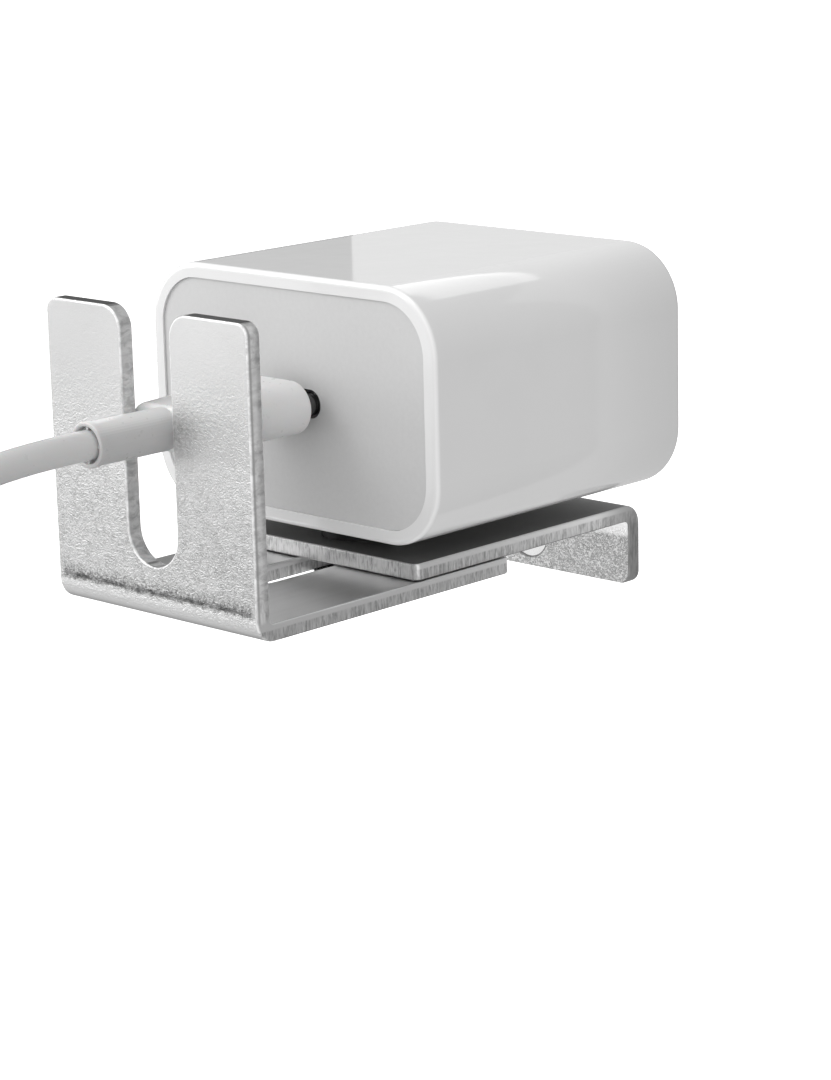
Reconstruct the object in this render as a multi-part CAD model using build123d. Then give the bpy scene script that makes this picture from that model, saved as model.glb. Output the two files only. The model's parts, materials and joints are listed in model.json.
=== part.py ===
"""Plug-in phone charger held in a wall outlet by a two-piece steel bracket, with its USB cable.

Frame, in millimetres: +X right, +Z up, -Y out into the room. The origin is the middle of the
charger's rear face, which rests on the outlet in the plane Y = 0, as does the bracket's flange.
Each sub-part is written to parts/NODE.step.
"""

import math
import os

from build123d import *

# ---- Driving dimensions --------------------------------------------------------------------

# Charger body: a rounded block, open at the room end, closed there by a recessed face plate
BODY_WIDTH = 43.6
BODY_HEIGHT = 28.0
BODY_DEPTH = 40.8
BODY_CORNER = 7.3
SIDE_WALL = 1.65
REAR_WALL = 2.0
RIM_ROUND = 0.6
REAR_ROUND = 0.8
FACE_RECESS = 0.25
FACE_THICKNESS = 1.6
FACE_GAP = 0.02

# USB-C port, centred on the face plate, long axis level
PORT_SHELL_WIDTH = 8.94
PORT_SHELL_HEIGHT = 3.16
PORT_WALL = 0.3
PORT_DEPTH = 7.8
PORT_HOLE_GAP = 0.03
TONGUE_WIDTH = 6.69
TONGUE_THICKNESS = 0.7
TONGUE_LENGTH = 5.5
TONGUE_BASE = 1.0

# Outlet blades
BLADE_SPACING = 12.7
BLADE_THICKNESS = 1.5
BLADE_WIDTH = 6.35
BLADE_LENGTH = 17.1
BLADE_HOLE_RADIUS = 1.6
BLADE_HOLE_FROM_TIP = 5.0
BLADE_STUB = 6.5
BLADE_SLOT_GAP = 0.03

# Bracket: two bent plates, the front one clamped under the rear one
SHEET = 1.9
BRACKET_WIDTH = 31.0
REAR_PLATE_TOP = -16.6
REAR_PLATE_FRONT = -37.7
FLANGE_BOTTOM = -26.1
REAR_BEND_OUTER = 2.4
SHEET_GAP = 0.1
FRONT_PLATE_REAR = -22.6
FORK_FRONT = -61.5
FORK_TOP = 12.9
FRONT_BEND_OUTER = 2.5
BEND_INNER = 0.55
EDGE_ROUND = 0.25
FORK_SLOT_WIDTH = 7.6
FORK_SLOT_BOTTOM = -14.5
FORK_SLOT_CORNER = 2.6
FORK_OUTER_CORNER = 1.5
PLATE_CORNER = 0.8
FLANGE_CORNER = 1.5
ADJUST_SLOT_WIDTH = 5.6
ADJUST_SLOT_REAR = -24.4
ADJUST_SLOT_FRONT = -49.5

# Screws
WALL_SCREW_Z = -22.17
WALL_SCREW_RADIUS = 1.75
WALL_SCREW_NECK = 1.55
WALL_SCREW_LENGTH = 9.5
WALL_HEAD_RADIUS = 2.77
WALL_HEAD_RECESS = 0.15
WALL_HOLE_RADIUS = 1.9
COUNTERSINK_RADIUS = 2.95
CLAMP_Y = -31.0
CLAMP_RADIUS = 1.95
CLAMP_HOLE_RADIUS = 2.9
CLAMP_BORE_GAP = 0.2
CLAMP_NUT_RADIUS = 4.0
CLAMP_NUT_HEIGHT = 2.0
CLAMP_TIP_SHORT = 0.1
WASHER_RADIUS = 5.0
WASHER_THICKNESS = 1.0
CLAMP_HEAD_RADIUS = 3.8
CLAMP_HEAD_HEIGHT = 2.2
CLAMP_HEAD_ROUND = 1.5
HEX_ACROSS_FLATS = 2.5
HEX_DEPTH = 1.3

# Cable plug, along its own axis from where the cord enters it
PLUG_SHELL_WIDTH = 8.25
PLUG_SHELL_HEIGHT = 2.4
PLUG_SHELL_WALL = 0.325
PLUG_SHELL_LENGTH = 6.65
LINER_SLOT_WIDTH = 6.9
LINER_SLOT_HEIGHT = 0.9
LINER_SLOT_DEPTH = 5.6
OVERMOLD_WIDTH = 11.0
OVERMOLD_HEIGHT = 5.9
OVERMOLD_REAR_WIDTH = 10.4
OVERMOLD_REAR_HEIGHT = 4.9
OVERMOLD_TAPER = 10.5
OVERMOLD_LENGTH = 16.7
OVERMOLD_FRONT_ROUND = 0.5
OVERMOLD_REAR_ROUND = 0.6
SLEEVE_RADIUS = 2.35
SLEEVE_LENGTH = 9.75
SLEEVE_RIM = 0.9
SLEEVE_RIM_RADIUS = 2.45
SLEEVE_RIM_WALL = 0.5
SLEEVE_RIM_ROUND = 0.22
SLEEVE_RIM_STEP = 0.06
RIB_WIDTH = 0.35
RIB_GAP = 0.02
RIB_COUNT = 4
CORD_ENTRY = -69.1

# Cord
CORD_RADIUS = 1.6
CORD_DIAMETER = 2 * CORD_RADIUS
COIL_MIDDLE_RADIUS = 17.5
COIL_LAYERS = 3
COIL_ROUND = 1.5
LEAD_POINTS = [
    (0, CORD_ENTRY, 0),
    (0, -78.0, 0),
    (0, -87.0, -1.2),
    (0, -98.0, -9.0),
    (0, -103.5, -24.0),
    (0, -104.5, -40.0),
]
TAIL_DROPS = [(0, 0, 0), (0.3, 0.3, -12.0), (0.3, 0.3, -24.0)]
TIE_WIDTH = 8.0
TIE_THICKNESS = 0.9

# Circuit inside the body
BOARD_TOP = -9.0
BOARD_THICKNESS = 1.2
BOARD_WIDTH = 37.4
BOARD_FRONT = -36.5
BOARD_REAR = -8.6
PORT_BOARD_WIDTH = 18.0
PORT_BOARD_THICKNESS = 0.8
PORT_BOARD_REAR = -30.6
PORT_BOARD_FRONT = -38.4
TRANSFORMER_X = -8.0
TRANSFORMER_Y = -18.5
TRANSFORMER_HEIGHT = 15.0
CORE_YOKE = 2.4
CHOKE_X = 13.0
CHOKE_Y = -32.2

# ---- Worked out from the above -------------------------------------------------------------

FACE_FRONT = -(BODY_DEPTH - FACE_RECESS)
FACE_REAR = FACE_FRONT + FACE_THICKNESS
REAR_PLATE_BOTTOM = REAR_PLATE_TOP - SHEET
FRONT_PLATE_TOP = REAR_PLATE_BOTTOM - SHEET_GAP
FRONT_PLATE_BOTTOM = FRONT_PLATE_TOP - SHEET
FORK_REAR = FORK_FRONT + SHEET
PORT_BOARD_BOTTOM = -PORT_SHELL_HEIGHT / 2 - 0.02 - PORT_BOARD_THICKNESS
UNDER_BOARD = BOARD_TOP - BOARD_THICKNESS
COIL_SPREAD = (COIL_LAYERS - 1) / 2 * CORD_DIAMETER
COIL_OUTER_TURN = COIL_MIDDLE_RADIUS + COIL_SPREAD
COIL_OUTER = COIL_OUTER_TURN + CORD_RADIUS
COIL_INNER = COIL_MIDDLE_RADIUS - COIL_SPREAD - CORD_RADIUS
COIL_X = LEAD_POINTS[-1][0] + COIL_SPREAD
COIL_Y = LEAD_POINTS[-1][1] - COIL_OUTER_TURN
COIL_Z = LEAD_POINTS[-1][2]
BUNDLE = COIL_LAYERS * CORD_DIAMETER


# ---- Helpers -------------------------------------------------------------------------------


def along_y(outline, start, end):
    """An X-Z outline extruded along Y from start to end, start being the lower value."""
    return extrude(Plane.XZ.offset(-end) * outline, amount=end - start)


def block(x, y, z):
    """A box between the low and high value given for each axis."""
    size = Box(x[1] - x[0], y[1] - y[0], z[1] - z[0])
    return Pos((x[0] + x[1]) / 2, (y[0] + y[1]) / 2, (z[0] + z[1]) / 2) * size


def post(radius, x, y, bottom, top):
    """An upright cylinder."""
    return Pos(x, y, (bottom + top) / 2) * Cylinder(radius, top - bottom)


def rod(radius, start, end, x=0.0, z=0.0):
    """A round bar along Y."""
    return Pos(x, 0, z) * along_y(Circle(radius), start, end)


def bent_sheet(corners, outer_corner, inner_corner, outer_radius):
    """A bent plate: a Y-Z outline rounded at its two bend corners, as wide as the bracket."""
    face = make_face(Polyline(*corners, close=True))
    outer = face.vertices().sort_by_distance(Vector(*outer_corner))[0]
    face = fillet(outer, outer_radius)
    inner = face.vertices().sort_by_distance(Vector(*inner_corner))[0]
    face = fillet(inner, BEND_INNER)
    return extrude(Plane.YZ.offset(-BRACKET_WIDTH / 2) * face, amount=BRACKET_WIDTH)


def is_sheet_face(face):
    """Whether a bracket's face is one of the sheet's two surfaces, not a cut edge or a hole."""
    if face.geom_type == GeomType.PLANE:
        return abs(face.normal_at().X) < 0.01 and face.area > BRACKET_WIDTH * 2 * SHEET
    return face.bounding_box().size.X > BRACKET_WIDTH * 0.9


def round_edges(sheet, with_holes):
    """Takes the sharpness off a bent plate, all along its outline on both surfaces."""
    outline = []
    seams = []
    for face in filter(is_sheet_face, sheet.faces()):
        wires = face.wires() if with_holes else [face.outer_wire()]
        for edge in (edge for wire in wires for edge in wire.edges()):
            middle = edge.center()
            twins = [kept for kept in outline if (kept.center() - middle).length < 0.001]
            seams += twins
            outline.append(edge)
    doubled = [seam.center() for seam in seams]
    single = [e for e in outline if all((e.center() - d).length > 0.001 for d in doubled)]
    return fillet(single, EDGE_ROUND)


def corner_radii(points):
    """The largest smooth bend for each corner of a route: 0.45 of its shorter run."""
    radii = []
    for before, here, after in zip(points, points[1:], points[2:]):
        run_in = Vector(*here) - Vector(*before)
        run_out = Vector(*after) - Vector(*here)
        half_turn = math.radians(run_in.get_angle(run_out) / 2)
        shorter = min(run_in.length, run_out.length)
        radii.append(0.45 * shorter / math.tan(half_turn))
    return radii


def cord_tube(points):
    """A round tube along straight runs joined by tangent arcs."""
    radii = corner_radii(points)
    path = FilletPolyline(*points, radius=radii)
    start = Plane(origin=path @ 0, z_dir=path % 0)
    tube = sweep(start * Circle(CORD_RADIUS), path=path)
    expected = math.pi * CORD_RADIUS**2 * path.length
    print("cord radii", [round(r, 1) for r in radii], "length", round(path.length, 1))
    print("cord volume", round(tube.volume, 1), "section x length", round(expected, 1))
    return tube


# ---- Charger body --------------------------------------------------------------------------


def body_outline(inset):
    """The charger's rounded outline, set in by a distance all round."""
    width = BODY_WIDTH - 2 * inset
    height = BODY_HEIGHT - 2 * inset
    return RectangleRounded(width, height, BODY_CORNER - inset)


def outer_shell():
    """The one-piece housing, with a slot in its rear wall for each blade."""
    shell = along_y(body_outline(0), -BODY_DEPTH, 0)
    shell = fillet(shell.faces().sort_by(Axis.Y)[0].edges(), RIM_ROUND)
    shell = fillet(shell.faces().sort_by(Axis.Y)[-1].edges(), REAR_ROUND)
    shell -= along_y(body_outline(SIDE_WALL), -BODY_DEPTH - 1, -REAR_WALL)
    for side in (-1, 1):
        shell -= along_y(blade_section(side, BLADE_SLOT_GAP), -REAR_WALL - 1, 1)
    return shell


def face_plate():
    """The matte lid in the body's mouth, with the port's opening."""
    plate = along_y(body_outline(SIDE_WALL + FACE_GAP), FACE_FRONT, FACE_REAR)
    width = PORT_SHELL_WIDTH + 2 * PORT_HOLE_GAP
    height = PORT_SHELL_HEIGHT + 2 * PORT_HOLE_GAP
    return plate - along_y(SlotOverall(width, height), FACE_FRONT - 1, FACE_REAR + 1)


def port_shell():
    """The port's steel tube, flush with the face plate but for its last tenth."""
    front = FACE_FRONT + 0.1
    outer = SlotOverall(PORT_SHELL_WIDTH, PORT_SHELL_HEIGHT)
    inner = SlotOverall(PORT_SHELL_WIDTH - 2 * PORT_WALL, PORT_SHELL_HEIGHT - 2 * PORT_WALL)
    return along_y(outer - inner, front, front + PORT_DEPTH)


def port_tongue():
    """The port's insulator: a base that closes the tube's rear and a flat tongue."""
    rear = FACE_FRONT + 0.1 + PORT_DEPTH
    width = PORT_SHELL_WIDTH - 2 * PORT_WALL
    height = PORT_SHELL_HEIGHT - 2 * PORT_WALL
    base = along_y(SlotOverall(width, height), rear - TONGUE_BASE, rear)
    front = rear - TONGUE_BASE - TONGUE_LENGTH
    return base + along_y(Rectangle(TONGUE_WIDTH, TONGUE_THICKNESS), front, rear - TONGUE_BASE)


# ---- Blades --------------------------------------------------------------------------------


def blade_section(side, gap=0.0):
    """One blade's X-Z section, grown by a gap all round."""
    section = Rectangle(BLADE_THICKNESS + 2 * gap, BLADE_WIDTH + 2 * gap)
    return Pos(side * BLADE_SPACING / 2, 0) * section


def blade(side):
    """A flat blade with a hole near its tip and a bevelled end."""
    piece = along_y(blade_section(side), -BLADE_STUB, BLADE_LENGTH)
    tip = piece.faces().sort_by(Axis.Y)[-1]
    piece = chamfer(tip.edges().filter_by(Axis.Z), 0.5)
    corners = piece.edges().filter_by(Axis.X).group_by(Axis.Y)[-1]
    piece = fillet(corners, 1.0)
    hole = Cylinder(BLADE_HOLE_RADIUS, 4 * BLADE_THICKNESS, rotation=(0, 90, 0))
    return piece - Pos(side * BLADE_SPACING / 2, BLADE_LENGTH - BLADE_HOLE_FROM_TIP, 0) * hole


def blade_carrier():
    """The insulating block behind the rear wall that holds both blades."""
    carrier = block((-11.5, 11.5), (-5.6, -REAR_WALL), (-5.6, 5.6))
    for side in (-1, 1):
        carrier -= along_y(blade_section(side), -7, 0)
    return fillet(carrier.edges().filter_by(Axis.Y).group_by(Axis.X)[0], 1.5)


def blade_contact(side):
    """The brass strip from a blade's inner end down to the main board."""
    x = side * BLADE_SPACING / 2
    strip = block((x - 2.0, x + 2.0), (-BLADE_STUB - 0.5, -BLADE_STUB), (-8.0, 2.5))
    foot = block((x - 2.0, x + 2.0), (-11.0, -BLADE_STUB), (BOARD_TOP, BOARD_TOP + 0.5))
    riser = block((x - 2.0, x + 2.0), (-BLADE_STUB - 0.5, -BLADE_STUB), (BOARD_TOP, -8.0))
    return strip + riser + foot


# ---- Circuit -------------------------------------------------------------------------------


def main_board():
    half = BOARD_WIDTH / 2
    return block((-half, half), (BOARD_FRONT, BOARD_REAR), (BOARD_TOP - BOARD_THICKNESS, BOARD_TOP))


def port_board():
    half = PORT_BOARD_WIDTH / 2
    top = PORT_BOARD_BOTTOM + PORT_BOARD_THICKNESS
    return block((-half, half), (PORT_BOARD_FRONT, PORT_BOARD_REAR), (PORT_BOARD_BOTTOM, top))


def board_header():
    """The pin strip that carries the port board above the main board."""
    return block((-7, 7), (-32.4, -30.8), (BOARD_TOP, PORT_BOARD_BOTTOM))


def transformer_core():
    """A ferrite frame with a round middle leg."""
    bottom = BOARD_TOP + 1.0
    top = bottom + TRANSFORMER_HEIGHT
    x = TRANSFORMER_X
    y = TRANSFORMER_Y
    core = block((x - 8.4, x + 8.4), (y - 4.5, y + 4.5), (bottom, top))
    core -= block((x - 6.0, x + 6.0), (y - 5, y + 5), (bottom + CORE_YOKE, top - CORE_YOKE))
    return core + post(3.0, x, y, bottom + 1, top - 1)


def transformer_bobbin():
    """The spool round the middle leg, with its pin rail under the core."""
    bottom = BOARD_TOP + 1.0 + CORE_YOKE
    top = BOARD_TOP + 1.0 + TRANSFORMER_HEIGHT - CORE_YOKE
    x = TRANSFORMER_X
    y = TRANSFORMER_Y
    spool = post(3.7, x, y, bottom, top)
    spool += post(5.9, x, y, bottom, bottom + 0.6)
    spool += post(5.9, x, y, top - 0.6, top)
    return spool - post(3.0, x, y, bottom - 1, top + 1)


def transformer_ring(inner, outer):
    bottom = BOARD_TOP + 1.6 + CORE_YOKE
    top = BOARD_TOP + 0.4 + TRANSFORMER_HEIGHT - CORE_YOKE
    ring = post(outer, TRANSFORMER_X, TRANSFORMER_Y, bottom, top)
    return ring - post(inner, TRANSFORMER_X, TRANSFORMER_Y, bottom - 1, top + 1)


def transformer_feet():
    """The plastic rail between the core and the board."""
    x = TRANSFORMER_X
    y = TRANSFORMER_Y
    return block((x - 8.4, x + 8.4), (y - 4.5, y + 4.5), (BOARD_TOP, BOARD_TOP + 1.0))


def can_capacitor(radius, x, y, height):
    """A can capacitor with a crimped ring near its foot."""
    can = post(radius, x, y, BOARD_TOP, BOARD_TOP + height)
    can = fillet(can.edges().filter_by(GeomType.CIRCLE), 0.5)
    groove = post(radius + 1, x, y, BOARD_TOP + 1.6, BOARD_TOP + 2.2)
    return can - (groove - post(radius - 0.3, x, y, BOARD_TOP + 1, BOARD_TOP + 3))


def choke_core():
    """The ferrite ring of the mains filter choke, lying flat above the board."""
    ring = Cylinder(3.6, 3.0) - Cylinder(2.0, 4.0)
    return Pos(CHOKE_X, CHOKE_Y, BOARD_TOP + 2.6) * ring


def choke_winding(side):
    """One of the two copper windings round the ring."""
    shell = Cylinder(4.2, 4.2) - Cylinder(1.4, 5.0)
    shell -= Cylinder(3.6, 3.0) - Cylinder(2.0, 3.0)
    half = block((0.8 * side, 6 * side) if side > 0 else (-6, -0.8), (-6, 6), (-4, 4))
    return Pos(CHOKE_X, CHOKE_Y, BOARD_TOP + 2.6) * (shell & half)


def fuse():
    """A round fuse standing near the live blade contact."""
    return post(1.8, 17.0, -12.5, BOARD_TOP, BOARD_TOP + 8.5)


def disc_capacitor():
    """The safety capacitor that bridges the two sides, a flat disc on edge."""
    disc = Cylinder(3.2, 2.6, rotation=(0, 90, 0))
    return Pos(1.2, -27.2, BOARD_TOP + 3.2) * disc


# ---- Bracket -------------------------------------------------------------------------------


def rear_bracket():
    """The wall piece: a shelf under the charger with a flange screwed to the outlet."""
    corners = [
        (0, REAR_PLATE_TOP),
        (0, FLANGE_BOTTOM),
        (-SHEET, FLANGE_BOTTOM),
        (-SHEET, REAR_PLATE_BOTTOM),
        (REAR_PLATE_FRONT, REAR_PLATE_BOTTOM),
        (REAR_PLATE_FRONT, REAR_PLATE_TOP),
    ]
    sheet = bent_sheet(corners, corners[0], corners[3], REAR_BEND_OUTER)
    sheet = fillet(sheet.edges().filter_by(Axis.Y).group_by(Axis.Z)[0], FLANGE_CORNER)
    sheet = fillet(sheet.edges().filter_by(Axis.Z).group_by(Axis.Y)[0], PLATE_CORNER)
    sheet = round_edges(sheet, with_holes=False)
    sheet -= rod(WALL_HOLE_RADIUS, -SHEET - 1, 1, z=WALL_SCREW_Z)
    depth = COUNTERSINK_RADIUS - WALL_HOLE_RADIUS
    sink = Cone(WALL_HOLE_RADIUS, COUNTERSINK_RADIUS, depth, rotation=(90, 0, 0))
    sheet -= Pos(0, -SHEET + depth / 2, WALL_SCREW_Z) * sink
    return sheet - post(CLAMP_HOLE_RADIUS, 0, CLAMP_Y, REAR_PLATE_BOTTOM - 1, REAR_PLATE_TOP + 1)


def front_bracket():
    """The sliding piece: a fork that stands in front of the plug, on a slotted plate."""
    corners = [
        (FORK_FRONT, FRONT_PLATE_BOTTOM),
        (FORK_FRONT, FORK_TOP),
        (FORK_REAR, FORK_TOP),
        (FORK_REAR, FRONT_PLATE_TOP),
        (FRONT_PLATE_REAR, FRONT_PLATE_TOP),
        (FRONT_PLATE_REAR, FRONT_PLATE_BOTTOM),
    ]
    sheet = bent_sheet(corners, corners[0], corners[3], FRONT_BEND_OUTER)
    radius = FORK_SLOT_WIDTH / 2
    centre = FORK_SLOT_BOTTOM + radius
    sheet -= rod(radius, FORK_FRONT - 1, FORK_REAR + 1, z=centre)
    across = (-radius, radius)
    sheet -= block(across, (FORK_FRONT - 1, FORK_REAR + 1), (centre, FORK_TOP + 1))
    tips = sheet.edges().filter_by(Axis.Y).group_by(Axis.Z)[-1].sort_by(Axis.X)
    sheet = fillet([tips[0], tips[3]], FORK_OUTER_CORNER)
    tips = sheet.edges().filter_by(Axis.Y).filter_by_position(Axis.X, -radius - 0.1, radius + 0.1)
    sheet = fillet(tips.group_by(Axis.Z)[-1], FORK_SLOT_CORNER)
    sheet = fillet(sheet.edges().filter_by(Axis.Z).group_by(Axis.Y)[-1], PLATE_CORNER)
    length = ADJUST_SLOT_REAR - ADJUST_SLOT_FRONT
    slot = SlotOverall(length, ADJUST_SLOT_WIDTH, rotation=90)
    middle = (ADJUST_SLOT_REAR + ADJUST_SLOT_FRONT) / 2
    sheet -= Pos(0, middle, FRONT_PLATE_BOTTOM - 1) * extrude(slot, amount=SHEET + 2)
    return round_edges(sheet, with_holes=True)


def wall_screw():
    """A flat-head machine screw whose free end goes into the outlet's middle hole."""
    head_front = -SHEET + WALL_HEAD_RECESS
    depth = WALL_HEAD_RADIUS - WALL_HOLE_RADIUS
    head = Cone(WALL_HOLE_RADIUS, WALL_HEAD_RADIUS, depth, rotation=(90, 0, 0))
    screw = Pos(0, head_front + depth / 2, WALL_SCREW_Z) * head
    screw += rod(WALL_SCREW_NECK, head_front + depth / 2, 0.6, z=WALL_SCREW_Z)
    thread = rod(WALL_SCREW_RADIUS, 0.5, 0.5 + WALL_SCREW_LENGTH, z=WALL_SCREW_Z)
    screw += chamfer(thread.edges().sort_by(Axis.Y)[-1], 0.4)
    slot = (head_front - 1, head_front + 0.55)
    return screw - block((-3, 3), slot, (WALL_SCREW_Z - 0.4, WALL_SCREW_Z + 0.4))


def clamp_nut():
    """The round nut fixed on top of the shelf, above the adjusting slot."""
    top = REAR_PLATE_TOP + CLAMP_NUT_HEIGHT
    nut = post(CLAMP_NUT_RADIUS, 0, CLAMP_Y, REAR_PLATE_TOP, top)
    nut = chamfer(nut.edges().sort_by(Axis.Z)[-1], 0.3)
    return nut - post(CLAMP_RADIUS + CLAMP_BORE_GAP, 0, CLAMP_Y, REAR_PLATE_TOP - 1, top + 1)


def clamp_washer():
    """The washer that bears on the front plate from below, over the slot."""
    bottom = FRONT_PLATE_BOTTOM - WASHER_THICKNESS
    washer = post(WASHER_RADIUS, 0, CLAMP_Y, bottom, FRONT_PLATE_BOTTOM)
    hole = CLAMP_RADIUS + CLAMP_BORE_GAP
    return washer - post(hole, 0, CLAMP_Y, bottom - 1, FRONT_PLATE_BOTTOM + 1)


def clamp_screw():
    """A button-head socket screw, from below through washer and slot into the nut."""
    head_top = FRONT_PLATE_BOTTOM - WASHER_THICKNESS
    head_bottom = head_top - CLAMP_HEAD_HEIGHT
    head = post(CLAMP_HEAD_RADIUS, 0, CLAMP_Y, head_bottom, head_top)
    head = fillet(head.edges().sort_by(Axis.Z)[0], CLAMP_HEAD_ROUND)
    tip = REAR_PLATE_TOP + CLAMP_NUT_HEIGHT - CLAMP_TIP_SHORT
    shank = post(CLAMP_RADIUS, 0, CLAMP_Y, head_top - 1, tip)
    shank = chamfer(shank.edges().sort_by(Axis.Z)[-1], 0.4)
    socket = extrude(RegularPolygon(HEX_ACROSS_FLATS / 2, 6, major_radius=False), amount=HEX_DEPTH)
    return head + shank - Pos(0, CLAMP_Y, head_bottom) * socket


# ---- Cable ---------------------------------------------------------------------------------
# Plug pieces are made with the cord entering at the origin and the tip towards +Y.


def strain_relief():
    """The sleeve behind a plug, with a rolled rim and ribs round the cord at its end."""
    sleeve = rod(SLEEVE_RADIUS, 0, SLEEVE_LENGTH)
    rim = rod(SLEEVE_RIM_RADIUS, -SLEEVE_RIM, 0)
    rim = fillet(rim.edges().filter_by(GeomType.CIRCLE).sort_by(Axis.Y)[-1], SLEEVE_RIM_STEP)
    rim -= rod(SLEEVE_RIM_RADIUS - SLEEVE_RIM_WALL, -SLEEVE_RIM - 1, 0)
    mouth = rim.edges().filter_by(GeomType.CIRCLE).group_by(Axis.Y)[0]
    rim = fillet(mouth, SLEEVE_RIM_ROUND)
    reach = (CORD_RADIUS + RIB_GAP, SLEEVE_RIM_RADIUS - SLEEVE_RIM_WALL / 2)
    rib = block(reach, (-SLEEVE_RIM * 0.7, 0), (-RIB_WIDTH / 2, RIB_WIDTH / 2))
    for number in range(RIB_COUNT):
        rim += Rot(0, number * 360 / RIB_COUNT, 0) * rib
    return sleeve + rim


def plug_overmold():
    """The grip: a long rounded bar, a little slimmer towards the cord."""
    full = SLEEVE_LENGTH + OVERMOLD_TAPER
    end = SLEEVE_LENGTH + OVERMOLD_LENGTH
    section = SlotOverall(OVERMOLD_WIDTH, OVERMOLD_HEIGHT)
    slim = SlotOverall(OVERMOLD_REAR_WIDTH, OVERMOLD_REAR_HEIGHT)
    grip = loft([Plane.XZ.offset(-SLEEVE_LENGTH) * slim, Plane.XZ.offset(-full) * section], ruled=True)
    grip += along_y(section, full, end)
    grip = fillet(grip.faces().sort_by(Axis.Y)[-1].edges(), OVERMOLD_FRONT_ROUND)
    return fillet(grip.faces().sort_by(Axis.Y)[0].edges(), OVERMOLD_REAR_ROUND)


def liner_outline():
    width = PLUG_SHELL_WIDTH - 2 * PLUG_SHELL_WALL
    return SlotOverall(width, PLUG_SHELL_HEIGHT - 2 * PLUG_SHELL_WALL)


def plug_shell():
    """The steel tube of the plug."""
    start = SLEEVE_LENGTH + OVERMOLD_LENGTH
    tube = SlotOverall(PLUG_SHELL_WIDTH, PLUG_SHELL_HEIGHT) - liner_outline()
    return along_y(tube, start, start + PLUG_SHELL_LENGTH)


def plug_liner():
    """The insulator in the tube, with the slot that takes the port's tongue."""
    start = SLEEVE_LENGTH + OVERMOLD_LENGTH
    end = start + PLUG_SHELL_LENGTH
    liner = along_y(liner_outline(), start, end - 0.1)
    slot = Rectangle(LINER_SLOT_WIDTH, LINER_SLOT_HEIGHT)
    return liner - along_y(slot, end - LINER_SLOT_DEPTH, end)


def cord_coil():
    """The outer shape of the put-away turns, which lie in an upright ring."""
    ring = Cylinder(COIL_OUTER, BUNDLE)
    ring -= Cylinder(COIL_INNER, BUNDLE + 2)
    ring = fillet(ring.edges().filter_by(GeomType.CIRCLE), COIL_ROUND)
    return Pos(COIL_X, COIL_Y, COIL_Z) * Rot(0, 90, 0) * ring


def coil_tie():
    """The strap round the bundle, on the side away from the charger."""
    middle = COIL_Y - COIL_MIDDLE_RADIUS
    reach = BUNDLE / 2 + TIE_THICKNESS
    across = (COIL_X - reach, COIL_X + reach)
    strap = block(across, (middle - reach, middle + reach), (COIL_Z - TIE_WIDTH / 2, COIL_Z + TIE_WIDTH / 2))
    strap = fillet(strap.edges().filter_by(Axis.Z), COIL_ROUND)
    return strap - cord_coil()


# ---- Write every node ----------------------------------------------------------------------


def write(name, shape):
    export_step(shape, f"parts/{name}.step")


os.makedirs("parts", exist_ok=True)

write("outer_shell", outer_shell())
write("face_plate", face_plate())
write("port_shell", port_shell())
write("port_tongue", port_tongue())
write("blade_carrier", blade_carrier())
for name, side in (("neutral", -1), ("line", 1)):
    write(f"blade_{name}", blade(side))
    write(f"contact_{name}", blade_contact(side))
    write(f"choke_winding_{name}", choke_winding(side))

write("main_board", main_board())
write("port_board", port_board())
write("board_header", board_header())
write("transformer_core", transformer_core())
write("transformer_bobbin", transformer_bobbin())
write("transformer_winding", transformer_ring(3.7, 5.5))
write("transformer_tape", transformer_ring(5.5, 5.7))
write("transformer_feet", transformer_feet())
write("bulk_capacitor_rear", can_capacitor(4.0, 6.6, -16.0, 16.0))
write("bulk_capacitor_front", can_capacitor(4.0, 6.6, -24.6, 16.0))
write("output_capacitor", can_capacitor(3.15, -15.2, -31.0, 10.0))
write("choke_core", choke_core())
write("fuse", fuse())
write("disc_capacitor", disc_capacitor())
write("filter_capacitor", block((12.6, 18.4), (-26.6, -15.2), (BOARD_TOP, BOARD_TOP + 10.0)))
write("optocoupler", block((-11.2, -6.4), (-29.6, -26.2), (BOARD_TOP, BOARD_TOP + 3.4)))
write("bridge_rectifier", block((8.0, 14.0), (-18.0, -12.0), (UNDER_BOARD - 1.5, UNDER_BOARD)))
write("switching_chip", block((2.0, 8.0), (-27.0, -21.0), (UNDER_BOARD - 1.4, UNDER_BOARD)))
write("output_rectifier", block((-14.0, -9.0), (-33.0, -27.0), (UNDER_BOARD - 1.2, UNDER_BOARD)))
write("power_chip", block((-2.0, 2.0), (-38.0, -34.0), (PORT_BOARD_BOTTOM - 0.9, PORT_BOARD_BOTTOM)))
write("heat_spreader", block((-19.6, -19.2), (-35.0, -9.0), (-8.0, 5.0)))

write("rear_bracket", rear_bracket())
write("front_bracket", front_bracket())
write("wall_screw", wall_screw())
write("clamp_nut", clamp_nut())
write("clamp_washer", clamp_washer())
write("clamp_screw", clamp_screw())

PLUG_PIECES = {
    "strain_relief": strain_relief,
    "overmold": plug_overmold,
    "shell": plug_shell,
    "liner": plug_liner,
}
tail_start = Vector(COIL_X + COIL_SPREAD, COIL_Y + COIL_OUTER_TURN, COIL_Z)
tail_points = [tuple(tail_start + Vector(*drop)) for drop in TAIL_DROPS]
for name, make in PLUG_PIECES.items():
    write(f"plug_{name}", Pos(0, CORD_ENTRY, 0) * make())
    write(f"far_plug_{name}", Pos(*tail_points[-1]) * Rot(-90, 0, 0) * make())
write("cord_lead", cord_tube(LEAD_POINTS))
write("cord_coil", cord_coil())
write("cord_tail", cord_tube(tail_points))
write("coil_tie", coil_tie())
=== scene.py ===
"""Looks, light and camera for the plug-in charger, its wall bracket and its cable."""

import json
import math

import bmesh
import bpy
from mathutils import Matrix, Vector


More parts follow.
